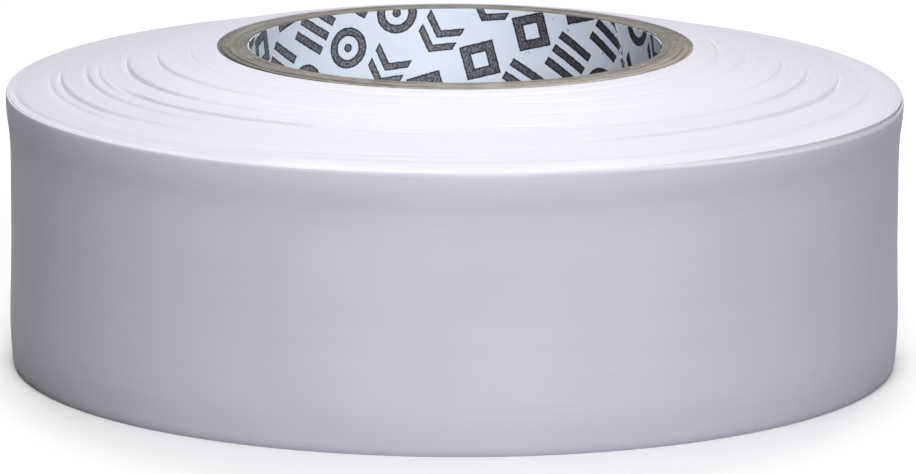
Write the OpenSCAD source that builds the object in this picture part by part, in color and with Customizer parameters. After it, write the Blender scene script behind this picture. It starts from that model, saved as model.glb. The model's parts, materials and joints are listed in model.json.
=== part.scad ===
// Electrical tape roll: a spirally wound paper core, one long strip of adhesive vinyl tape
// wound on it, and the free end of that strip, which peels off the roll.
// Millimetres. +Z is the roll's axis, and z = 0 is the flat face that it rests on.

/* [Core] */
// Bore diameter of the core
bore_d = 38.1; // [30:0.1:45]
// Thickness of the printed liner inside the bore
liner_t = 0.15; // [0.1:0.05:0.3]
// Thickness of one chipboard ply
ply_t = 0.6; // [0.4:0.05:0.65]
// Thickness of the smooth paper ply on the outside of the core
wrap_t = 0.4; // [0.2:0.05:0.5]
// Length that the core stands proud of the first turn of tape, at each end
core_proud = 0.15; // [0.05:0.05:0.5]

/* [Tape] */
// Width of the tape strip
tape_w = 25.8; // [18:0.1:30]
// Thickness of the vinyl film
film_t = 0.14; // [0.1:0.01:0.2]
// Thickness of the adhesive coat on the film's inner side
adhesive_t = 0.04; // [0.02:0.01:0.06]
// Height of the innermost turn above the outermost one, as the roll has slid into a cone
cone_rise = 3.8; // [0:0.1:5]
// Depth of the step where one band of turns meets the next
step_h = 0.15; // [0.05:0.05:0.3]
// Width of the bevel that leads down into a step
step_w = 0.3; // [0.2:0.05:0.6]
// How far the outer wall spreads outwards at its top edge
rim_flare = 0.4; // [0:0.05:0.6]
// How far the outer wall spreads outwards at its bottom edge
foot_flare = 0.1; // [0:0.05:0.3]

/* [Free end] */
// Direction where the free end leaves the roll
peel_angle = 20; // [0:1:90]
// Angle of the roll that one piece of the free end covers
tail_step = 8.5; // [5:0.5:10]
// Gap between neighbouring pieces, and between the free end and the roll
tail_gap = 0.06; // [0.04:0.01:0.1]
// Gap between the strip's cut end and the start of the outermost turn
end_gap = 0.5; // [0.3:0.1:1]

/* [Hidden] */
// Turns of tape in each band, from the core outwards; a step shows where two bands meet
band_turns = [13, 17, 16, 16, 12, 6, 11, 14];
tail_pieces = 10;
core_plies = 4;
turn_t = film_t + adhesive_t;

bore_r = bore_d / 2;
ply_1_r = bore_r + liner_t;
wrap_r = ply_1_r + core_plies * ply_t;
core_r = wrap_r + wrap_t;

// Radius after a number of turns, and after a number of bands
function turn_r(turns) = core_r + turns * turn_t;
function band_end(i) = i < 0 ? 0 : band_end(i - 1) + band_turns[i];
function band_r(i) = turn_r(band_end(i - 1));

last_band = len(band_turns) - 1;
outer_r = band_r(last_band + 1);
flat_r = band_r(last_band);
wall_r = outer_r + turn_t;

// Height of the tape's lower edge at a radius: a straight cone, flat under the last band
function lift(r) = cone_rise * max(0, flat_r - r) / (flat_r - core_r);

// The wall is a plain cylinder from foot_h up to flare_h below its top edge, and has
// flare_mid of its flare by half_flare_h below that edge
foot_h = 2;
flare_h = 4;
half_flare_h = 1.5;
flare_mid = 0.35;

degrees_per_mm = 180 / (PI * wall_r);
gap_angle = tail_gap * degrees_per_mm;
tail_end = peel_angle + tail_pieces * tail_step;

$fn = 180;

// A paper tube of the core, trimmed a little short or long at each end
module core_tube(inner_r, thickness, trim) {
    low = cone_rise - core_proud + trim;
    high = cone_rise + tape_w + core_proud - trim;
    rotate_extrude()
        translate([inner_r, low])
            square([thickness, high - low]);
}

module core_liner() {
    color("lightsteelblue")
        core_tube(bore_r, liner_t, 0.05);
}

module core_ply(n) {
    color([0.55, 0.51, 0.46])
        core_tube(ply_1_r + (n - 1) * ply_t, ply_t, n % 2 == 0 ? 0.04 : 0);
}

module core_wrap() {
    color([0.45, 0.42, 0.38])
        core_tube(wrap_r, wrap_t, 0.08);
}

// Section of the wall that the outer turns share: [radius, height] points, shifted by dr
function wall_points(dr) = [
    [outer_r + dr + foot_flare, 0],
    [outer_r + dr, foot_h],
    [outer_r + dr, tape_w - flare_h],
    [outer_r + dr + rim_flare * flare_mid, tape_w - half_flare_h],
    [outer_r + dr + rim_flare, tape_w]
];

// One band of turns: a ring whose two ends follow the cone, with a bevelled step at the top
module tape_band(i) {
    inner = band_r(i);
    outer = band_r(i + 1);
    top = tape_w + lift(inner);
    top_out = tape_w + lift(outer);
    color([0.89, 0.88, 0.93])
        rotate_extrude()
            polygon([
                [inner, lift(inner)],
                [outer, lift(outer)],
                [outer, top_out - step_h],
                [outer - step_w, top_out],
                [inner, top]
            ]);
}

// The last band: its foot is flat, and its outside takes the flare of the wall
module tape_band_last() {
    color([0.89, 0.88, 0.93])
        rotate_extrude()
            polygon(concat([[band_r(last_band), tape_w], [band_r(last_band), 0]], wall_points(0)));
}

// A curved piece of strip lying on the wall, between two directions and two offsets from it
module strip_piece(from, to, inner_dr, outer_dr) {
    inner = wall_points(inner_dr);
    outer = wall_points(outer_dr);
    rotate([0, 0, from])
        rotate_extrude(angle = to - from)
            polygon(concat(outer, [for (k = [len(inner) - 1 : -1 : 0]) inner[k]]));
}

// The rest of the outermost turn, from behind the strip's cut end round to the free end
module outer_turn() {
    color([0.91, 0.90, 0.95])
        strip_piece(tail_end + end_gap * degrees_per_mm, peel_angle + 360 - gap_angle, 0, turn_t);
}

module tail_film(n) {
    color([0.91, 0.90, 0.95])
        strip_piece(
            peel_angle + (n - 1) * tail_step + gap_angle / 2,
            peel_angle + n * tail_step - gap_angle / 2,
            tail_gap + adhesive_t, tail_gap + turn_t
        );
}

module tail_adhesive(n) {
    color([0.80, 0.80, 0.82])
        strip_piece(
            peel_angle + (n - 1) * tail_step + gap_angle / 2,
            peel_angle + n * tail_step - gap_angle / 2,
            tail_gap, tail_gap + adhesive_t
        );
}

core_liner();
core_wrap();
outer_turn();
tape_band_last();  // tape_band_8
for (n = [1 : core_plies])
    core_ply(n);
for (i = [0 : last_band - 1])
    tape_band(i);
for (n = [1 : tail_pieces])
    tail_film(n);
for (n = [1 : tail_pieces])
    tail_adhesive(n);
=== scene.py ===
"""The looks of a roll of white vinyl electrical tape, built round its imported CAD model."""

import json
import math

import bpy
import numpy as np
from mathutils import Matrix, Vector


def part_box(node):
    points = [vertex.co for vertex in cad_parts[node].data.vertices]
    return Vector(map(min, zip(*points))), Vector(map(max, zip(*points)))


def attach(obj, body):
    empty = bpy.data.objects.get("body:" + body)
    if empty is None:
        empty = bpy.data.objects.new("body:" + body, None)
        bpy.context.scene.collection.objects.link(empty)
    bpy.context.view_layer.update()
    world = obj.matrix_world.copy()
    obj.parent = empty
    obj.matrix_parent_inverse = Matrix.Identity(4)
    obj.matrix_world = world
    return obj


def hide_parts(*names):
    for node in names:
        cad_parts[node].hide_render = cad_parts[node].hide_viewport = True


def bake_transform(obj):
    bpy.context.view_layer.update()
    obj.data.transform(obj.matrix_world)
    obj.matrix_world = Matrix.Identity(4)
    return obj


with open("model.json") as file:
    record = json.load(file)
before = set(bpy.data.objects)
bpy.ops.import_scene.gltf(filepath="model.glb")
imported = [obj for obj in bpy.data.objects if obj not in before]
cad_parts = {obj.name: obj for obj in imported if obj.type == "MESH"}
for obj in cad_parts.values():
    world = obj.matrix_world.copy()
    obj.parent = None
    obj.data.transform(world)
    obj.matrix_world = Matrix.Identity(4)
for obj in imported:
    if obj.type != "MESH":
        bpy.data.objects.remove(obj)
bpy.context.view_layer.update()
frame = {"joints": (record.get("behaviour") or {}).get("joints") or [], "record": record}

# ---------------------------------------------------------------- dimensions, in millimetres

TO_MM = 1000.0
TO_M = 0.001


def node_radius(node):
    """Outer radius of a node that is a ring round the roll's axis."""
    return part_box(node)[1].x * TO_MM


def node_heights(node):
    """Heights of a node's underside and its top."""
    low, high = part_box(node)
    return low.z * TO_MM, high.z * TO_MM


BANDS = [f"tape_band_{i}" for i in range(1, 9)]
PLIES = [f"core_ply_{i}" for i in range(1, 5)]
TURN = 0.18                      # thickness of one turn of tape
FILM = 0.14                      # thickness of its film
GLUE = TURN - FILM               # thickness of its adhesive
RIM_FLARE = 0.4                  # how far the wall spreads at its top edge
DOME = 0.36                      # how far the wound face swells above a straight cone
DOME_POWER = 0.8                 # how full the swell is
CONE_EASE = 0.9                  # how softly the cone ends

bore_r = next(m for m in frame["record"]["mounts"] if m["name"] == "spindle_bore")["dims"]["r_mm"]
liner_r = node_radius("core_liner")
core_r = node_radius("core_wrap")
core_low, core_high = node_heights("core_ply_1")
inner_high = node_heights("tape_band_1")[1]
tape_w = node_heights("tape_band_8")[1]
cone_rise = inner_high - tape_w
flat_r = node_radius("tape_band_7")
outer_r = node_radius("tape_band_8") - RIM_FLARE
wall_r = outer_r + TURN

# Azimuths in degrees, from the joints: where the free end leaves the roll, how far it is from
# one joint to the next, and where the cut end lies
joint_angles = [math.degrees(math.atan2(j["pos_m"][1], j["pos_m"][0])) for j in frame["joints"]]
TAIL_COUNT = len(joint_angles)
PEEL = joint_angles[0]
TAIL_STEP = joint_angles[1] - joint_angles[0]
TAIL_TIP = PEEL + TAIL_COUNT * TAIL_STEP
END_GAP = 0.7                    # degrees between the cut end and the outermost turn's start

random = np.random.default_rng(11)


def smooth(x, low, high):
    """0 below low, 1 above high, and an even curve between."""
    t = np.clip((x - low) / (high - low), 0, 1)
    return t * t * (3 - 2 * t)


def cone(r):
    """How far the turns stand up at a radius, at the top and the bottom of the roll alike. The
    cone runs softly into the flat turns outside it."""
    inward = flat_r - r
    return cone_rise * (np.hypot(inward, CONE_EASE) + inward) / 2 / (flat_r - core_r)


def dome(r):
    """How far the wound face swells above the straight cone."""
    across = np.clip((wall_r - r) / (wall_r - core_r), 0, 1)
    return DOME * np.sin(math.pi * across) ** DOME_POWER


def angle_off(azimuth, centre):
    """Degrees from centre, the short way round."""
    return (azimuth - centre + 180) % 360 - 180


def waves(azimuth, count, lowest, highest):
    """A smooth random curve round the roll, about -1 to 1, the same at 0 and 360 degrees."""
    total = 0
    for _ in range(count):
        cycles = random.integers(lowest, highest + 1)
        total = total + random.uniform(0.4, 1) * np.sin(
            np.radians(azimuth) * cycles + random.uniform(0, 2 * math.pi)
        )
    return total / count


# ---------------------------------------------------------------- meshes

SHARP_EDGE = math.radians(50)    # edges that turn more than this are drawn sharp


def shell(name, points, closed):
    """A closed skin over points[u, v], in mm. v runs round a section, and u along the piece:
    right round the roll if closed, and otherwise from one capped end to the other. The first
    half of a capped section is its outer side and the second half its inner side, backwards."""
    nu, nv = points.shape[:2]
    index = np.arange(nu * nv).reshape(nu, nv)
    here = index if closed else index[:-1]
    after = np.roll(index, -1, axis=0) if closed else index[1:]
    quads = [np.stack([here, np.roll(here, -1, 1), np.roll(after, -1, 1), after], -1).reshape(-1, 4)]
    if not closed:
        i = np.arange(nv // 2 - 1)
        cap = np.stack([i, nv - 1 - i, nv - 2 - i, i + 1], -1)
        quads += [index[0][cap], index[-1][cap[:, ::-1]]]
    quads = np.concatenate(quads)
    mesh = bpy.data.meshes.new(name)
    mesh.vertices.add(nu * nv)
    mesh.vertices.foreach_set("co", (points * TO_M).astype(np.float32).ravel())
    mesh.loops.add(quads.size)
    mesh.loops.foreach_set("vertex_index", quads.astype(np.int32).ravel())
    mesh.polygons.add(len(quads))
    mesh.polygons.foreach_set("loop_start", np.arange(0, quads.size, 4, dtype=np.int32))
    mesh.update(calc_edges=True)
    mesh.validate()
    mesh.polygons.foreach_set("use_smooth", np.ones(len(quads), bool))
    mesh.set_sharp_from_angle(angle=SHARP_EDGE)
    piece = bpy.data.objects.new(name, mesh)
    bpy.context.scene.collection.objects.link(piece)
    return piece


def revolve(azimuth, radius, height):
    """Points at radius[u, v] and height[u, v], each row at its azimuth in degrees."""
    a = np.radians(azimuth)[:, None]
    return np.stack([radius * np.cos(a), radius * np.sin(a), height], -1)


def all_round(count):
    """Azimuths in degrees, evenly spaced right round the roll."""
    return np.arange(count) * 360.0 / count


# ---------------------------------------------------------------- the wound face

# Valleys in the wound face, where the strip wandered sideways as it was wound. They drift from
# turn to turn. Turn at the first azimuth and at the last, the two azimuths, and the depth in mm
VALLEYS = [
    (5.8, 9.2, 205, 250, 0.05), (9.3, 9.0, 250, 322, 0.09), (14, 14, 184, 235, 0.05),
    (13, 13, 335, 375, 0.12), (20.4, 23.5, 285, 314, 0.11), (24, 27, 340, 360, 0.09),
    (30.8, 29, 184, 206, 0.30), (29, 28, 206, 236, 0.19), (36, 36.8, 228, 250, 0.06),
    (35, 37.5, 285, 318, 0.06),
    (46.5, 45.2, 183, 214, 0.45), (45.2, 44.4, 213, 238, 0.17), (43.4, 46, 330, 360, 0.15),
    (50, 51, 278, 292, 0.08), (61, 61.5, 184, 201, 0.14), (58, 55.4, 203, 242, 0.45),
    (55.4, 56.8, 242, 262, 0.10), (54.3, 57.2, 290, 326, 0.16), (57.6, 59.2, 328, 357, 0.26),
    (67.2, 66.2, 183, 206, 0.25), (66.4, 65.6, 206, 226, 0.13), (69.8, 70.4, 294, 318, 0.27),
    (70.6, 74.8, 320, 355, 0.40), (80.4, 78, 182, 211, 0.34), (77.8, 76.3, 212, 228, 0.14),
    (85.6, 84, 182, 214, 0.10), (85.5, 82.5, 243, 262, 0.08), (87.4, 91, 318, 354, 0.17),
    (93, 92, 212, 224, 0.08), (99, 97, 198, 208, 0.10), (102.2, 99, 188, 230, 0.18),
    (18, 18, 50, 110, 0.12), (34, 35, 80, 115, 0.16), (52, 50, 45, 120, 0.16), (70, 71, 60, 125, 0.15),
    (88, 86, 40, 100, 0.14),
]
VALLEY_FADE = 8                  # degrees over which a valley's ends rise

# A valley's section, in turns and in shares of its depth
VALLEY_INNER = 1.15              # reach of its inner slope
VALLEY_OUTER = 0.9               # reach of its outer slope
LIP_PLACE = 2.6                  # how far outside it its lip is
LIP_REACH = 1.3
LIP_HEIGHT = 0.05


def hump(x, reach):
    """A bell curve, 1 at 0."""
    return np.exp(-((x / reach) ** 2))


def valley_shape(turns_off):
    """A narrow valley about two turns wide, with a low lip outside it."""
    inner = hump(np.minimum(turns_off, 0), VALLEY_INNER)
    outer = hump(np.maximum(turns_off, 0), VALLEY_OUTER)
    lip = LIP_HEIGHT * hump(turns_off - LIP_PLACE, LIP_REACH)
    return lip - inner * outer


def valley_height(turn, azimuth):
    """Height that all the valleys together add to a turn, which is mostly below 0."""
    total = np.zeros(np.broadcast(turn, azimuth).shape)
    for first_turn, last_turn, first, last, depth in VALLEYS:
        off = angle_off(azimuth, (first + last) / 2)
        half = (last - first) / 2
        near = 1 - smooth(np.abs(off), half - VALLEY_FADE, half + VALLEY_FADE)
        place = (first_turn + last_turn) / 2 + (last_turn - first_turn) / 2 * off / half
        total += depth * near * valley_shape(turn - place)
    return total


# Height in mm of the rim over the flat width of the tape, all round: azimuth, the outermost
# strip's edge, and the edge of the turns inside it. The strip has slipped down on the right
RIM_LEVELS = [
    (-165, -0.25, -0.28), (-145, -0.06, -0.09), (-120, -0.06, -0.09), (-104, 0.02, -0.01),
    (-90, 0.07, 0.04), (-76, 0.04, 0.01), (-60, -0.15, -0.13), (-50, -0.28, -0.10), (-35, -0.48, -0.27),
    (-24, -0.65, -0.42), (-16, -0.86, -0.60), (0, -0.86, -0.64), (50, -0.50, -0.42), (110, -0.20, -0.20),
    (180, -0.25, -0.28),
]
RIM_BLEND = 4                    # degrees over which the levels run into each other


def rim_level(azimuth, column):
    """Height of the strip's edge (column 1) or of the turns' edge (column 2) at the rim."""
    places = [row[0] for row in RIM_LEVELS]
    levels = [row[column] for row in RIM_LEVELS]
    total = 0
    for shift in (-RIM_BLEND, 0, RIM_BLEND):
        total = total + np.interp(azimuth + shift, places, levels, period=360) / 3
    return total


ROUND_SEGMENTS = 720
WANDER_KEPT = 0.80               # share of a turn's wander that the next turn repeats
WANDER_NEW = 0.009               # height of the long waves that each turn adds
WANDER_RIPPLE = 0.003            # height of the short waves that it has for itself
WANDER_FADE = 3                  # turns over which a band's wander fades out


def turn_wander(count, azimuth):
    """Height of each turn's edge over the smooth face: each turn lands a little off the last."""
    wander = np.zeros((len(azimuth), count))
    slow = np.zeros(len(azimuth))
    for column in range(count):
        slow = WANDER_KEPT * slow + WANDER_NEW * waves(azimuth, 3, 1, 4)
        wander[:, column] = slow + WANDER_RIPPLE * waves(azimuth, 2, 5, 11)
    # bands meet level, so the wander fades out at both ends
    place = np.arange(count) + 0.5
    return wander * smooth(np.minimum(place, count - place), 0, WANDER_FADE)


RIM_WIDTH = 2.4                  # how far from the rim the face starts to fall
FOOT_ROUND = 0.15                # how far the underside lifts at its rim
FOOT_ROUND_WIDTH = 0.7           # how far from the rim it starts to lift


def rim_fall(r, azimuth):
    """How far the face changes height towards its rim."""
    across = np.clip((r - (wall_r - RIM_WIDTH)) / RIM_WIDTH, 0, 1)
    return rim_level(azimuth, 2)[:, None] * across[None] ** 2


def foot_round(r):
    """How far the underside lifts towards its rim."""
    across = np.clip((r - (wall_r - FOOT_ROUND_WIDTH)) / FOOT_ROUND_WIDTH, 0, 1)
    return FOOT_ROUND * across ** 2


GROOVE = 0.006                   # least depth of the groove between two turns
GROOVE_SPREAD = 0.005            # how much deeper it can be
TURN_EDGE = (0.25, 0.75)         # shares of a turn's thickness between which its edge is flat
SKIN_GAP = 0.002                 # how far a band's skin stays inside its two sides
WALL_GAP = 0.006                 # how far the outermost turns stay inside the strip round them
LEAN_WIDTH = 2.2                 # how far from the rim the turns start to lean with the wall
FOOT_GAP = 0.03                  # how far the turns stay above the floor
SIDE_ROWS = 24                   # points down the side of the outermost band
SIDE_TOP = 1.4                   # how far below the band's top edge they start
SIDE_FOOT = 0.5                  # how far above its foot they end
SIDE_GAP = 0.01                  # how far they stay inside the strip round them


def band_profile(inner, outer, count, wander):
    """Radii across a band's face, and how far each is off the smooth face all round."""
    radii, shifts = [], []
    for k in range(count):
        groove = GROOVE + GROOVE_SPREAD * random.random()
        if k > 0:
            radii.append(inner + k * TURN)
            shifts.append((wander[:, k - 1] + wander[:, k]) / 2 - groove)
        for share in TURN_EDGE:
            radii.append(inner + (k + share) * TURN)
            shifts.append(wander[:, k])
    radii = np.array([inner + SKIN_GAP] + radii + [outer - SKIN_GAP])
    shifts = np.stack([wander[:, 0] * 0.5] + shifts + [wander[:, -1] * 0.5], 1)
    return radii, shifts


def band_piece(number):
    """One band of turns as a ring, every turn's edge modelled at the top and the bottom."""
    node = BANDS[number]
    inner = core_r if number == 0 else node_radius(BANDS[number - 1])
    outer = outer_r if number == len(BANDS) - 1 else node_radius(node)
    count = round((outer - inner) / TURN)
    azimuth = all_round(ROUND_SEGMENTS)
    radii, shifts = band_profile(inner, outer, count, turn_wander(count, azimuth))
    turn = (radii - core_r) / TURN
    top = tape_w + cone(radii) + dome(radii) + rim_fall(radii, azimuth) + shifts
    top += valley_height(turn[None], azimuth[:, None])
    bottom = cone(radii) + FOOT_GAP + np.abs(shifts) * 0.8 + foot_round(radii)
    lean = smooth(radii, outer_r - LEAN_WIDTH, outer_r)
    top_r = radii + (wall_shape(tape_w + rim_level(azimuth, 2)) - WALL_GAP)[:, None] * lean
    bottom_r = np.broadcast_to(radii + wall_shape(np.array(0.0)) * lean, top.shape)
    rows = len(azimuth)
    # only the outermost band has a side that follows the wall's outline
    side_rows = SIDE_ROWS if number == len(BANDS) - 1 else 0
    side_z = np.linspace(tape_w - SIDE_TOP, SIDE_FOOT, side_rows)
    side_r = outer - SIDE_GAP + wall_shape(side_z)
    radius = np.concatenate([top_r, np.tile(side_r, (rows, 1)), bottom_r[:, ::-1]], 1)
    height = np.concatenate([top, np.tile(side_z, (rows, 1)), bottom[:, ::-1]], 1)
    piece = shell(node + "_wound", revolve(azimuth, radius, height), closed=True)
    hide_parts(node)
    return piece


# ---------------------------------------------------------------- the outermost turn and the free end

WALL_ROWS = 90
EDGE_CROWDING = 0.13             # how much closer the rows are at the wall's two edges
EDGE_ROUND = 0.05                # how far the outermost strip's edge rolls inward
EDGE_START = 0.992               # share of its height where it starts to
EDGE_FULLNESS = 0.96             # how far round it rolls; 1 is a full quarter circle
EDGE_FOOT = 0.02                 # how far the film's outer side stays above the floor

# The wall's outline: height in mm, and how far it stands out from its middle there
WALL_OUTLINE = [
    (0.0, -0.34), (0.25, -0.20), (0.7, -0.10), (1.4, -0.03), (2.4, 0.05), (3.4, 0.11), (4.6, 0.14),
    (6.5, 0.10), (9.0, 0.03), (12.0, 0.0), (16.5, 0.0), (19.0, 0.01), (20.5, 0.04), (22.0, 0.14),
    (23.2, 0.30), (24.1, 0.39), (24.7, 0.42), (25.4, 0.42), (25.65, 0.39), (25.85, 0.34),
]
OUTLINE_BLEND = 0.12             # height over which its corners are rounded


def wall_shape(height):
    """How far the wall stands out at a height, smoothed between the outline's points."""
    places, offsets = np.array(WALL_OUTLINE).T
    total = 0
    for shift in (-OUTLINE_BLEND, 0, OUTLINE_BLEND):
        total = total + np.interp(height + shift, places, offsets) / 3
    return total


def wall_rows():
    """Shares of the wall's height, closer together at its two edges."""
    t = np.linspace(0, 1, WALL_ROWS)
    return t - EDGE_CROWDING * np.sin(2 * math.pi * t)


def wall_swell(azimuth, height):
    """Low soft rings on the wall, where the strips below bulge it: a wide ring every 7.5 mm, a
    narrow one every 3.4 mm, and three broad bulges round the roll."""
    a = np.radians(azimuth)[:, None]
    swell = 0.006 * np.sin(2 * math.pi * height / 7.5 + 0.5 * np.sin(a) + 0.6)
    swell += 0.003 * np.sin(2 * math.pi * height / 3.4 + 0.7 * np.sin(2 * a + 1) + 2.1)
    swell += 0.020 * np.sin(a * 3 + 0.4) * np.sin(math.pi * height / tape_w)
    return swell * smooth(height, 0.3, 2.0) * (1 - smooth(height, tape_w - 2.4, tape_w - 0.8))


CREST = 0.06                     # height of the painted highlight line along the strip's top edge


def painted_edge_light(azimuth, below):
    """How much painted light the film's colour gets, 0 to 1, at a depth in mm below its slit edge.
    A painted glow soaks into that edge on the right, and elsewhere a painted highlight shows as a thin
    line along its crest."""
    off = angle_off(azimuth, 0)
    lit = 0.12 + 0.88 * smooth(off, -80, -45) * (1 - smooth(off, 60, 120))
    painted_glow = lit[:, None] * (1 - smooth(below, 0.22, 0.44)) + 0.16 * np.exp(-below / 0.8)
    crest = 0.12 + 0.6 * smooth(off, -178, -165) * (1 - smooth(off, -80, -50))
    return np.where(below < CREST, crest[:, None], painted_glow)


def strip(name, azimuth, inner, outer, top_shift):
    """A length of strip between two offsets from the outermost band, each given per azimuth."""
    share = wall_rows()[None, :]
    edge = tape_w + top_shift[:, None]
    rise = share * edge
    base = outer_r + wall_shape(rise) + wall_swell(azimuth, rise)
    roll_in = smooth(share, EDGE_START, 1) ** 2 * EDGE_FULLNESS
    outside = base + outer[:, None] - EDGE_ROUND * (1 - np.sqrt(1 - roll_in))
    inside = base + inner[:, None]
    radius = np.concatenate([outside, inside[:, ::-1]], 1)
    height = np.concatenate([np.maximum(rise, EDGE_FOOT), rise[:, ::-1]], 1)
    piece = shell(name, revolve(azimuth, radius, height), closed=False)
    # the painted light along the slit edge, kept on the points for the film's colour
    painted_glow = painted_edge_light(azimuth, edge - rise)
    painted_glow = np.concatenate([painted_glow, painted_glow[:, ::-1]], 1)
    attribute = piece.data.attributes.new("slit_glow", "FLOAT", "POINT")
    attribute.data.foreach_set("value", np.clip(painted_glow, 0, 1).astype(np.float32).ravel())
    return piece


def strip_top(azimuth):
    """Top edge of the outermost strip, above or below the flat width of the tape."""
    ripple = 0.008 * np.sin(np.radians(azimuth) * 5 + 1) + 0.006 * np.sin(np.radians(azimuth) * 11)
    return ripple + rim_level(azimuth, 1)


OUTER_TURN_ROWS = 560


def outer_turn_piece():
    """The outermost turn, from beyond the cut end to where the free end's first length starts."""
    azimuth = np.linspace(TAIL_TIP + END_GAP, PEEL + 360 - TAIL_STEP / 2, OUTER_TURN_ROWS)
    flat = np.zeros_like(azimuth)
    piece = strip("outer_turn_strip", azimuth, flat, flat + TURN, strip_top(azimuth))
    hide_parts("outer_turn")
    return piece


TAIL_ROWS = 17                   # points along one length of the free end
TAIL_GAP = 0.06                  # clearance of the free end over the turn below it
TIP_LIFT = 0.10                  # how much further the cut end stands off
TIP_LENGTH = 4                   # degrees before the cut where that starts
GLUE_MARGIN = 0.03               # how far the adhesive stays below the film's top edge


def tail_pieces():
    """The free end, in lengths from the middle of one CAD piece to the middle of the next, so
    that each spans one joint. The first starts on the roll and the last ends at the cut."""
    made = []
    for n in range(1, TAIL_COUNT + 2):
        start = PEEL + (n - 1.5) * TAIL_STEP
        end = min(start + TAIL_STEP, TAIL_TIP)
        azimuth = np.linspace(start, end, TAIL_ROWS)
        lift = TAIL_GAP * smooth(azimuth, PEEL - TAIL_STEP / 2, PEEL)
        lift = lift + TIP_LIFT * smooth(azimuth, TAIL_TIP - TIP_LENGTH, TAIL_TIP)
        top = strip_top(azimuth)
        film = strip(f"tail_film_length_{n}", azimuth, lift + GLUE, lift + TURN, top)
        adhesive = strip(f"tail_adhesive_length_{n}", azimuth, lift, lift + GLUE, top - GLUE_MARGIN)
        made.append((film, adhesive))
        if n > TAIL_COUNT:
            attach(film, f"tail_{TAIL_COUNT}")
            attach(adhesive, f"tail_{TAIL_COUNT}")
            continue
        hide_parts(f"tail_film_{n}")
        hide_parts(f"tail_adhesive_{n}")
        for piece in (film, adhesive):
            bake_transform(piece)
    return made


# ---------------------------------------------------------------- the core

CORE_SEGMENTS = 900
PLY_GAP = 0.001                  # how far a ply's skin stays inside its two sides
SHOULDER = 0.012                 # how far a ply's cut is rounded at its sides
CUT_WAVE = 0.008                 # height of the slow waves in a cut
FRINGE = 0.005                   # how far the fibres in a cut wander outward

# How far each of the plies is sunk at its cut, how many points its cut has, and how rough it is
PLY_SINKS = (0.015, 0.01, 0.05, 0.10)
PLY_COLUMNS = 8
PLY_ROUGH = 0.014
WRAP_SINK = 0.15
WRAP_COLUMNS = 6
WRAP_ROUGH = 0.010


def ragged(azimuth, columns, size, run=7):
    """Small random bumps over a cut edge, drawn out along the cut over a run of points."""
    rough = random.normal(0, 1, (len(azimuth), columns))
    reach = np.arange(-3 * run, 3 * run + 1)
    weights = hump(reach, run)
    total = sum(weight * np.roll(rough, k, 0) for k, weight in zip(reach, weights))
    return size * total / np.sqrt((weights ** 2).sum())


def core_piece(node, inner, outer, sink, columns, rough):
    """One paper tube of the core. Its cut ends lie a little below the CAD's, by sink, and they
    are rough, with a little rounding at both sides."""
    azimuth = all_round(CORE_SEGMENTS)
    low, high = node_heights(node)
    share = np.linspace(0, 1, columns)
    radii = inner + (outer - inner) * share
    radii[0] += PLY_GAP
    radii[-1] -= PLY_GAP
    shoulder = -SHOULDER * (np.abs(share * 2 - 1) ** 4)
    slow = CUT_WAVE * waves(azimuth, 3, 2, 7)[:, None]
    top = high - sink + shoulder + slow
    top = top + ragged(azimuth, columns, rough) + ragged(azimuth, columns, rough / 3, 1)
    bottom = low + sink - shoulder + ragged(azimuth, columns, rough * 0.7)
    rows = len(azimuth)
    fringe = ragged(azimuth, columns, FRINGE) * np.where((share > 0) & (share < 1), 1, 0)
    radius = np.concatenate([radii + fringe, np.broadcast_to(radii[::-1], (rows, columns))], 1)
    height = np.concatenate([top, bottom[:, ::-1]], 1)
    piece = shell(node + "_tube", revolve(azimuth, radius, height), closed=True)
    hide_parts(node)
    return piece


# The liner's spiral seam
SEAM_AZIMUTH = 25.3              # where it crosses mid height, in degrees
SEAM_CLIMB = 1.0                 # degrees of azimuth for each mm of height
SEAM_RIDGE = 0.025               # height of the torn ridge along it
SEAM_RIDGE_REACH = 0.14
SEAM_STEP = 0.05                 # height of the lapped paper beside it
LINER_ROWS = 90
LINER_SINK = 0.07                # how far its top edge lies below the core's
LINER_LIFT = 0.15                # how far its lower edge lies above the core's foot
LINER_GAP = 0.02                 # how far its coating stays off the bore's own radius
LINER_SWELL = 0.012              # height of its slow bulges


def liner_piece():
    """The printed liner: a thin tube whose inside has the low ridge of its spiral seam."""
    azimuth = all_round(CORE_SEGMENTS)
    low, high = node_heights("core_liner")
    t = np.linspace(0, 1, LINER_ROWS)
    z = high - LINER_SINK + (low - high + LINER_SINK + LINER_LIFT) * t
    middle = (low + high) / 2
    off = angle_off(azimuth[:, None], SEAM_AZIMUTH + SEAM_CLIMB * (z[None] - middle))
    off_mm = np.radians(off) * bore_r
    torn = 1 + 1.2 * waves(z, 4, 3, 30)[None]
    ridge = SEAM_RIDGE * torn * hump(off_mm, SEAM_RIDGE_REACH)
    ridge += SEAM_STEP * smooth(off_mm, -0.08, 0.08) * (1 - smooth(off_mm, 0.4, 3))
    swell = LINER_SWELL * np.sin(np.radians(azimuth)[:, None] * 5 + z[None] * 0.35)
    top = z[0] + 0.03 * waves(azimuth, 4, 3, 9)[:, None] + ragged(azimuth, 1, 0.008)
    heights = z[None] + (top - z[0]) * (1 - t[None]) ** 8
    inside = bore_r + LINER_GAP - ridge + swell
    outside = np.full_like(inside, liner_r - 0.005)
    radius = np.concatenate([outside, inside[:, ::-1]], 1)
    height = np.concatenate([heights, heights[:, ::-1]], 1)
    piece = shell("core_liner_tube", revolve(azimuth, radius, height), closed=True)
    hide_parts("core_liner")
    return piece


# ---------------------------------------------------------------- materials

def plug(tree, value, socket):
    """Feeds a socket from a field, or sets it to a plain number."""
    if isinstance(value, Field):
        tree.links.new(value.socket, socket)
    else:
        socket.default_value = value


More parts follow.
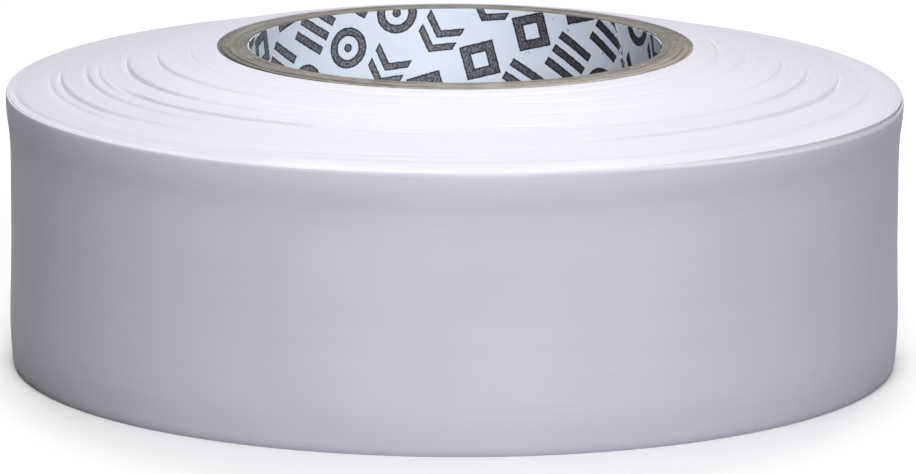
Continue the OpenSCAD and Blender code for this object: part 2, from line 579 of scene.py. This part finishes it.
class Field:
    """A number that varies over a surface, so that shader maths reads like arithmetic."""

    def __init__(self, tree, socket):
        self.tree = tree
        self.socket = socket

    def math(self, operation, *others):
        node = self.tree.nodes.new("ShaderNodeMath")
        node.operation = operation
        for value, socket in zip((self, *others), node.inputs):
            plug(self.tree, value, socket)
        return Field(self.tree, node.outputs[0])

    def __add__(self, other):
        return self.math("ADD", other)

    def __sub__(self, other):
        return self.math("SUBTRACT", other)

    def __mul__(self, other):
        return self.math("MULTIPLY", other)

    def __truediv__(self, other):
        return self.math("DIVIDE", other)

    def __abs__(self):
        return self.math("ABSOLUTE")

    def below(self, limit, soft):
        """1 where the number is under limit, 0 where it is over, over a band soft wide."""
        node = self.tree.nodes.new("ShaderNodeMapRange")
        node.interpolation_type = "SMOOTHSTEP"
        self.tree.links.new(self.socket, node.inputs["Value"])
        node.inputs["From Min"].default_value = limit - soft / 2
        node.inputs["From Max"].default_value = limit + soft / 2
        node.inputs["To Min"].default_value = 1
        node.inputs["To Max"].default_value = 0
        return Field(self.tree, node.outputs["Result"])

    def above(self, limit, soft):
        """1 where the number is over limit, 0 where it is under, over a band soft wide."""
        return self.below(limit, soft).math("SUBTRACT", 1).math("ABSOLUTE")


class Surface:
    """A Principled material and the fields that its colour, roughness and bump are made of: the
    place on the roll in mm, its radius, and the east and north shares of its direction."""

    def __init__(self, name, roughness, **settings):
        self.material = bpy.data.materials.new(name)
        self.material.use_nodes = True
        self.tree = self.material.node_tree
        self.shader = self.tree.nodes["Principled BSDF"]
        self.shader.inputs["Roughness"].default_value = roughness
        for key, value in settings.items():
            self.shader.inputs[key.replace("_", " ")].default_value = value
        place = self.tree.nodes.new("ShaderNodeTexCoord").outputs["Object"]
        split = self.tree.nodes.new("ShaderNodeSeparateXYZ")
        self.tree.links.new(place, split.inputs[0])
        self.x, self.y, self.z = (Field(self.tree, s) * TO_MM for s in split.outputs)
        self.r = (self.x * self.x + self.y * self.y).math("SQRT")
        self.angle = self.y.math("ARCTAN2", self.x)
        self.east = self.x / self.r
        self.north = self.y / self.r

    def attribute(self, name):
        """A number stored on the mesh's points."""
        node = self.tree.nodes.new("ShaderNodeAttribute")
        node.attribute_name = name
        return Field(self.tree, node.outputs["Fac"])

    def vector(self, x, y, z):
        """A vector of three fields."""
        node = self.tree.nodes.new("ShaderNodeCombineXYZ")
        for value, socket in zip((x, y, z), node.inputs):
            plug(self.tree, value, socket)
        return node.outputs[0]

    def noise(self, place, scale, detail, rough=0.55):
        """Noise from 0 to 1, mostly near 0.5, with scale cells for each unit of place."""
        node = self.tree.nodes.new("ShaderNodeTexNoise")
        self.tree.links.new(place, node.inputs["Vector"])
        node.inputs["Scale"].default_value = scale
        node.inputs["Detail"].default_value = detail
        node.inputs["Roughness"].default_value = rough
        return Field(self.tree, node.outputs["Fac"])

    def spots(self, place, scale):
        """Distance to the nearest of a scatter of points, in cells."""
        node = self.tree.nodes.new("ShaderNodeTexVoronoi")
        self.tree.links.new(place, node.inputs["Vector"])
        node.inputs["Scale"].default_value = scale
        return Field(self.tree, node.outputs["Distance"])

    def millimetres(self):
        """The place on the roll, in mm."""
        return self.vector(self.x, self.y, self.z)

    def mix(self, share, first, second):
        """A colour between two, each a tuple or a socket."""
        node = self.tree.nodes.new("ShaderNodeMix")
        node.data_type = "RGBA"
        self.tree.links.new(share.socket, node.inputs["Factor"])
        for name, value in (("A", first), ("B", second)):
            socket = next(s for s in node.inputs if s.name == name and s.type == "RGBA")
            if isinstance(value, tuple):
                socket.default_value = (*value, 1)
            else:
                self.tree.links.new(value, socket)
        return next(s for s in node.outputs if s.type == "RGBA")

    def colour(self, socket):
        """Sets the colour to one that mix has made."""
        self.tree.links.new(socket, self.shader.inputs["Base Color"])

    def gloss(self, field):
        """Sets the roughness to a field: less is glossier."""
        self.tree.links.new(field.socket, self.shader.inputs["Roughness"])

    def bump(self, height_mm):
        """Bends the light as a relief of that height would."""
        node = self.tree.nodes.new("ShaderNodeBump")
        node.inputs["Distance"].default_value = TO_M
        self.tree.links.new(height_mm.socket, node.inputs["Height"])
        self.tree.links.new(node.outputs[0], self.shader.inputs["Normal"])


# Colours of the wound face, with its painted shade and its painted highlights
FACE_PALE = (0.685, 0.668, 0.76)
FACE_DULL = (0.645, 0.628, 0.72)
FACE_FRONT_SHADE = (0.605, 0.59, 0.675)
FACE_LEFT_RIM_GREY = (0.60, 0.585, 0.67)
RIM_HIGHLIGHT = (0.735, 0.72, 0.815)
RIM_HIGHLIGHT_BRIGHT = (0.84, 0.825, 0.93)

# Colours of the strip, outside and inside, and the painted light along its slit edge
FILM_PALE = (0.63, 0.612, 0.715)
FILM_DULL = (0.60, 0.582, 0.68)
FILM_PAINTED_LIGHT = (0.90, 0.88, 0.98)
GLUE_PALE = (0.76, 0.76, 0.80)
GLUE_DULL = (0.72, 0.72, 0.755)


def wound_edge_material():
    """The slit edges of the wound film: satin white with fine rings, a touch of lavender."""
    s = Surface("wound_film_edges", 0.5, Specular_IOR_Level=0.35)
    turns = (s.r - core_r) / TURN
    ring = s.noise(s.vector(turns * 0.9, s.east * 0.35, s.north * 0.35), 1.0, 2)
    wide = s.noise(s.vector(turns * 0.11, s.east * 0.5, s.north * 0.5), 1.0, 2)
    grain = s.noise(s.millimetres(), 2.6, 4)
    shade = ring * 0.45 + wide * 0.35 + grain * 0.2
    face = s.mix(shade.below(0.5, 0.5), FACE_PALE, FACE_DULL)
    # painted shade makes the front of the face a little greyer, its left rim is greyer too,
    # and painted highlights make it paler along the rim right in front
    south = s.north * -1
    front_shade = s.r.above(31, 6) * s.r.below(39, 1) * south.above(0.5, 0.6)
    left_rim_grey = s.r.above(38.3, 1) * s.r.below(40.7, 0.4) * (s.east * -1).above(0.5, 0.4)
    front = south.above(0.92, 0.1)
    # painted shade: a little greyer over the front of the face
    face = s.mix(front_shade * 0.85, face, FACE_FRONT_SHADE)
    face = s.mix(left_rim_grey * 0.8, face, FACE_LEFT_RIM_GREY)
    # painted highlights: paler along the rim right in front
    face = s.mix(s.r.above(38.7, 0.8) * front * 0.7, face, RIM_HIGHLIGHT)
    s.colour(s.mix(s.r.above(40.1, 1.2) * front * 0.35, face, RIM_HIGHLIGHT_BRIGHT))
    s.gloss(grain * 0.2 + 0.42)
    s.bump(ring * 0.010 + grain * 0.010)
    return s.material


def film_material():
    """The outside of the film: satin vinyl with faint lines along the strip."""
    s = Surface("vinyl_film", 0.42, Specular_IOR_Level=0.45)
    lines = s.noise(s.vector(s.east * 3, s.z * 2.2, s.north * 3), 1.0, 4)
    cloud = s.noise(s.millimetres(), 0.10, 3)
    grain = s.noise(s.millimetres(), 5.0, 3)
    shade = lines * 0.4 + cloud * 0.6
    film = s.mix(shade.below(0.5, 0.4), FILM_PALE, FILM_DULL)
    # painted light along the film's slit edge
    s.colour(s.mix(s.attribute("slit_glow"), film, FILM_PAINTED_LIGHT))
    s.gloss(cloud * 0.16 + 0.36)
    s.bump(lines * 0.008 + grain * 0.004)
    return s.material


def adhesive_material():
    """The inside of the strip: a clear tacky coat over white film."""
    s = Surface("tacky_adhesive", 0.2, Coat_Weight=0.5, Coat_Roughness=0.12)
    dabs = s.noise(s.millimetres(), 0.5, 4)
    s.colour(s.mix(dabs.below(0.5, 0.4), GLUE_PALE, GLUE_DULL))
    s.gloss(dabs * 0.3 + 0.12)
    s.bump(dabs * 0.012)
    return s.material


# Colours of the core's cut end
BOARD_DARK = (0.095, 0.086, 0.072)
BOARD_MIDDLE = (0.23, 0.207, 0.175)
BOARD_PALE = (0.45, 0.415, 0.375)
BOARD_FLECK = (0.62, 0.59, 0.54)
KRAFT_DARK = (0.070, 0.064, 0.056)
KRAFT_MIDDLE = (0.19, 0.172, 0.148)
KRAFT_PALE = (0.44, 0.405, 0.37)


def cut_board_tone_and_light(s):
    """How pale the core's cut end is, 0 to 1, with painted light and shade over random blotches, fibres
    and streaks: in front its outer plies are painted pale, as lit, at the left and behind they are
    painted dark, as shaded, and the right side is painted pale all over."""
    outward = (s.r - liner_r) / (core_r - liner_r)
    right = s.x / core_r
    front = s.y / -core_r
    blotch = s.noise(s.millimetres(), 0.45, 4)
    fibres = s.noise(s.vector(s.r * 2.6 + s.z * 1.2, s.east * 5, s.north * 5), 1.0, 4, 0.6)
    streaks = s.noise(s.vector(s.r * 1.3, s.east * 1.4, s.north * 1.4), 1.0, 3)
    # painted light and shade: paler in front and on the right, darker behind and at the left
    tone = front * (outward * 0.30 - 0.02) + right * outward * outward * (front * 0.35 + 0.13)
    return tone + blotch * 0.36 + fibres * 0.30 + streaks * 0.35 - 0.11


def chipboard_material():
    """Cut edge of grey-brown chipboard: fibres drawn along the cut, layers and pale flecks."""
    s = Surface("chipboard_cut", 0.55, Specular_IOR_Level=0.45)
    # the tone carries painted light in front and on the right and painted shade behind and at the left
    tone = cut_board_tone_and_light(s)
    grain = s.noise(s.millimetres(), 2.4, 4)
    fibres = s.noise(s.vector(s.r * 3.4 + s.z * 1.2, s.east * 5, s.north * 5), 1.0, 4, 0.6)
    flecks = s.spots(s.vector(s.r * 1.2 + s.z, s.east * 7, s.north * 7), 1.1).below(0.12, 0.08)
    base = s.mix(tone.above(0.32, 0.5), BOARD_DARK, BOARD_MIDDLE)
    base = s.mix(tone.above(0.66, 0.6), base, BOARD_PALE)
    s.colour(s.mix(flecks * 0.4, base, BOARD_FLECK))
    s.gloss(grain * 0.35 + 0.3)
    s.bump(fibres * 0.035 + grain * 0.015)
    return s.material


def kraft_material():
    """The core's smoother outer ply, darker at its cut except in front, where painted light makes it
    paler.
    """
    s = Surface("kraft_cut", 0.6, Specular_IOR_Level=0.4)
    fibres = s.noise(s.vector(s.r * 4 + s.z, s.east * 6, s.north * 6), 1.0, 5, 0.6)
    tone = cut_board_tone_and_light(s) + fibres * 0.1 - 0.05
    base = s.mix(tone.above(0.35, 0.5), KRAFT_DARK, KRAFT_MIDDLE)
    s.colour(s.mix(tone.above(0.66, 0.5), base, KRAFT_PALE))
    s.gloss(fibres * 0.3 + 0.4)
    s.bump(fibres * 0.03)
    return s.material


# The liner's print, in mm: rows of plain marks, each row shifted against the last
PRINT_SLANT = math.radians(30)
PRINT_PITCH = 4.6                # between marks along a row
ROW_PITCH = 5.1                  # between rows
ROW_SHIFT = 0.38                 # share of the pitch by which each row is shifted
STROKE = 0.42                    # half the width of a mark's strokes
STRIPE_PITCH = 1.5               # between the stripes of a block
BLOCK_REACH = 1.95               # half the side of a block of stripes
RING_RADIUS = 1.55
DOT_RADIUS = 0.42                # of the dot within a ring
CHEVRON_SLOPE = 0.7
CHEVRON_RISE = 0.6               # how far a pair of chevrons is moved to sit level in its row
CHEVRON_APART = 0.78             # half the distance between the two
CHEVRON_REACH = 1.85             # half the width of a chevron
LOZENGE_REACH = 1.65             # half the width of a lozenge
LOZENGE_ACROSS = 0.72            # distance square to its side for each mm along the row


def seam_offset(s):
    """Distance in mm round the bore from the liner's spiral seam."""
    seam_foot = math.radians(SEAM_AZIMUTH - SEAM_CLIMB * (core_low + core_high) / 2)
    return (s.angle - s.z * math.radians(SEAM_CLIMB) - seam_foot) * bore_r


def printed_marks(s):
    """Distance in mm from the ink of the liner's print, negative inside it: slanted rows of plain
    stripes, rings, chevrons and lozenges, and a jump in the pattern at the spiral seam."""
    seam = s.angle - seam_offset(s) / bore_r
    around = ((s.angle - seam) / (2 * math.pi)).math("FRACT") * (2 * math.pi) + seam
    right = around * -bore_r
    along = right * math.cos(PRINT_SLANT) - s.z * math.sin(PRINT_SLANT)
    across = right * math.sin(PRINT_SLANT) + s.z * math.cos(PRINT_SLANT)
    row = (across / ROW_PITCH).math("FLOOR")
    shifted = along + row * (PRINT_PITCH * ROW_SHIFT)
    column = (shifted / PRINT_PITCH).math("FLOOR")
    # the place within one mark, from its middle
    a = ((shifted / PRINT_PITCH).math("FRACT") - 0.5) * PRINT_PITCH
    b = ((across / ROW_PITCH).math("FRACT") - 0.5) * ROW_PITCH
    far = (a * a + b * b).math("SQRT")
    stripes = abs((b / STRIPE_PITCH + 0.5).math("FRACT") - 0.5) * STRIPE_PITCH - STROKE
    stripes = stripes.math("MAXIMUM", abs(a) - BLOCK_REACH).math("MAXIMUM", abs(b) - BLOCK_REACH)
    ring = (abs(far - RING_RADIUS) - STROKE).math("MINIMUM", far - DOT_RADIUS)
    bent = b - abs(a) * CHEVRON_SLOPE + CHEVRON_RISE
    chevrons = abs(abs(bent) - CHEVRON_APART) - STROKE
    chevrons = chevrons.math("MAXIMUM", abs(a) - CHEVRON_REACH)
    lozenge = abs(abs(a) + abs(b) - LOZENGE_REACH) * LOZENGE_ACROSS - STROKE * 1.15
    kind = ((column + row * 3) / 4).math("FRACT") * 4
    total = None
    for number, shape in enumerate((stripes, ring, chevrons, lozenge)):
        chosen = abs(kind - number).below(0.5, 0.01) * shape
        total = chosen if total is None else total + chosen
    return total


# Colours of the liner: its paper, its paper in painted shade, its ink, its ink in the painted shade of
# the right side, and dirt
PAPER_PALE = (0.83, 0.905, 1.0)
PAPER_CLOUDED = (0.78, 0.86, 0.985)
PAPER_SHADED = (0.52, 0.56, 0.64)
PAPER_CUT = (0.46, 0.44, 0.41)
INK_RUBBED = (0.25, 0.26, 0.29)
INK_SOLID = (0.085, 0.085, 0.10)
INK_OUTLINE = (0.030, 0.030, 0.038)
RIGHT_INK_RUBBED = (0.04, 0.04, 0.048)
RIGHT_INK_SOLID = (0.014, 0.014, 0.018)
RIGHT_INK_OUTLINE = (0.010, 0.010, 0.013)
SEAM_DIRT = (0.09, 0.085, 0.075)
SEAM_BOARD = (0.62, 0.61, 0.58)
DIRT = (0.10, 0.10, 0.11)


def liner_material():
    """Coated paper, faintly blue, with worn charcoal print that is darkest along its edges."""
    s = Surface("printed_liner", 0.5, Specular_IOR_Level=0.2)
    fine = s.noise(s.millimetres(), 3.2, 4)
    worn = s.noise(s.millimetres(), 5.0, 3)
    cloud = s.noise(s.millimetres(), 0.22, 3)
    # painted shade: towards the right of the bore the paper is greyer and the ink darker
    right = (s.x / bore_r).above(0.35, 1.1)
    paper = s.mix(cloud.below(0.5, 0.4), PAPER_PALE, PAPER_CLOUDED)
    paper = s.mix(right * 0.7, paper, PAPER_SHADED)
    depth = printed_marks(s) + (fine - 0.5) * 0.16
    rubbed = s.mix(right, INK_RUBBED, RIGHT_INK_RUBBED)
    solid = s.mix(right, INK_SOLID, RIGHT_INK_SOLID)
    outline = s.mix(right, INK_OUTLINE, RIGHT_INK_OUTLINE)
    ink = s.mix(worn.below(0.51, 0.22), rubbed, solid)
    ink = s.mix(depth.above(-0.15, 0.14), ink, outline)
    # print only on the bore's own surface: the cut edges and the back are bare, soiled paper
    inside = s.r.below(bore_r + 0.09, 0.02)
    shade = s.mix(inside, PAPER_CUT, s.mix(depth.below(0, 0.08), paper, ink))
    # torn coating along the seam: board shows through in specks, with dark dirt between
    seam = seam_offset(s)
    chips = s.noise(s.vector(s.x * 1.5, s.y * 1.5, s.z * 1.1), 1.5, 4, 0.7)
    near = abs(seam + (worn - 0.5) * 1.2).below(0.32, 0.3) * inside
    shade = s.mix(near * chips.above(0.55, 0.05), shade, SEAM_DIRT)
    shade = s.mix(near * chips.below(0.41, 0.05), shade, SEAM_BOARD)
    dirt = s.spots(s.millimetres(), 0.9).below(0.10, 0.05) * right * inside
    s.colour(s.mix(dirt * 0.8, shade, DIRT))
    s.gloss(fine * 0.15 + 0.44)
    s.bump(fine * 0.01 + cloud * 0.03)
    return s.material


def paint(piece, material, body="roll"):
    """Gives a piece its material and slot, and its body when one is given."""
    piece.data.materials.append(material)
    if body:
        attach(piece, body)


# ---------------------------------------------------------------- the pieces

edge_material = wound_edge_material()
vinyl = film_material()
tack = adhesive_material()
board = chipboard_material()
kraft = kraft_material()

for number in range(len(BANDS)):
    paint(band_piece(number), edge_material)

paint(outer_turn_piece(), vinyl)
for film, adhesive in tail_pieces():
    paint(film, vinyl, None)
    paint(adhesive, tack, None)

paint(liner_piece(), liner_material())
ply_inner = liner_r
for node, sink in zip(PLIES, PLY_SINKS):
    ply_outer = node_radius(node)
    paint(core_piece(node, ply_inner, ply_outer, sink, PLY_COLUMNS, PLY_ROUGH), board)
    ply_inner = ply_outer
wrap = core_piece("core_wrap", ply_inner, core_r, WRAP_SINK, WRAP_COLUMNS, WRAP_ROUGH)
paint(wrap, kraft)

# ---------------------------------------------------------------- stage, light and camera

FLOOR_RINGS = (0.0002, 0.3, 1.0, 2.2)    # radii of the floor's rings of points, in metres
FLOOR_SEGMENTS = 96
FLOOR_DULL = (0.94, 0.94, 0.945)
FLOOR_PALE = (0.96, 0.96, 0.965)
FLOOR_SHEEN = (0.74, 0.72, 0.79)         # how bright it is in the film's sheen
FLOOR_BOUNCE = (0.09, 0.09, 0.09)        # share of light that it returns to the roll


def floor_piece():
    """A wide disc of pale floor with a fine, even grain."""
    azimuth = np.radians(all_round(FLOOR_SEGMENTS))
    points = [(r * math.cos(a), r * math.sin(a), 0) for r in FLOOR_RINGS for a in azimuth]
    n = FLOOR_SEGMENTS
    faces = [
        (k * n + i, (k + 1) * n + i, (k + 1) * n + (i + 1) % n, k * n + (i + 1) % n)
        for k in range(len(FLOOR_RINGS) - 1) for i in range(n)
    ]
    faces.append(tuple(range(n)))
    mesh = bpy.data.meshes.new("floor")
    mesh.from_pydata(points, [], faces)
    floor = bpy.data.objects.new("floor", mesh)
    bpy.context.scene.collection.objects.link(floor)
    s = Surface("pale_floor", 0.9, Specular_IOR_Level=0.1)
    grain = s.noise(s.millimetres(), 0.05, 3)
    white = s.mix(grain, FLOOR_DULL, FLOOR_PALE)
    # it throws little light back at the roll, like the cut-out ground in the photograph
    path = s.tree.nodes.new("ShaderNodeLightPath")
    mirrored = Field(s.tree, path.outputs["Is Glossy Ray"])
    seen = Field(s.tree, path.outputs["Is Camera Ray"])
    s.colour(s.mix(seen, s.mix(mirrored, FLOOR_BOUNCE, FLOOR_SHEEN), white))
    mesh.materials.append(s.material)


# Soft boxes, all facing the roll: name, azimuth and elevation in degrees, side in metres, watts
SOFT_BOXES = [
    ("key", -77, 20, 0.6, 16.6),
    ("upper", -98, 50, 0.6, 9.5),
    ("top", -90, 89.9, 0.8, 7.2),
    ("back", 90, 55, 0.8, 15.0),
]
LIGHT_DISTANCE = 1.6
WORLD_LIGHT = 0.02
WORLD_SEEN = (0.86, 0.86, 0.87, 1)


def soft_light(name, azimuth, elevation, size, power):
    """A square lamp that faces the roll."""
    light = bpy.data.lights.new(name, "AREA")
    light.shape = "SQUARE"
    light.size = size
    light.energy = power
    lamp = bpy.data.objects.new(name, light)
    a, e = math.radians(azimuth), math.radians(elevation)
    away = Vector((math.cos(e) * math.cos(a), math.cos(e) * math.sin(a), math.sin(e)))
    lamp.location = away * LIGHT_DISTANCE
    lamp.rotation_euler = away.to_track_quat("Z", "Y").to_euler()
    bpy.context.scene.collection.objects.link(lamp)


def world_light():
    """A faint even light from all round, seen by the camera as a pale wall."""
    world = bpy.data.worlds.new("studio")
    world.use_nodes = True
    tree = world.node_tree
    dim = tree.nodes["Background"]
    dim.inputs["Strength"].default_value = WORLD_LIGHT
    dim.inputs["Color"].default_value = (1, 1, 1, 1)
    pale = tree.nodes.new("ShaderNodeBackground")
    pale.inputs["Color"].default_value = WORLD_SEEN
    seen = tree.nodes.new("ShaderNodeLightPath").outputs["Is Camera Ray"]
    mix = tree.nodes.new("ShaderNodeMixShader")
    tree.links.new(seen, mix.inputs["Fac"])
    tree.links.new(dim.outputs[0], mix.inputs[1])
    tree.links.new(pale.outputs[0], mix.inputs[2])
    tree.links.new(mix.outputs[0], tree.nodes["World Output"].inputs["Surface"])
    bpy.context.scene.world = world


CAMERA_PLACE = (0.00034, -0.8211, 0.1803)
CAMERA_PITCH = 11.614            # degrees below the level
CAMERA_ROLL = 0.229
CAMERA_LENS = 355.0              # focal length in mm, on a sensor of this width
CAMERA_SENSOR = 36


def camera():
    """A far camera with a long lens, a little above the roll."""
    lens = bpy.data.cameras.new("camera")
    lens.lens = CAMERA_LENS
    lens.sensor_width = CAMERA_SENSOR
    lens.clip_start = 0.05
    lens.clip_end = 20
    cam = bpy.data.objects.new("camera", lens)
    cam.location = CAMERA_PLACE
    cam.rotation_mode = "ZXY"
    cam.rotation_euler = (math.radians(90 - CAMERA_PITCH), 0, math.radians(CAMERA_ROLL))
    bpy.context.scene.collection.objects.link(cam)
    bpy.context.scene.camera = cam


floor_piece()
for name, azimuth, elevation, size, power in SOFT_BOXES:
    soft_light(name, azimuth, elevation, size, power)
world_light()
bpy.context.scene.view_settings.view_transform = "Standard"
camera()
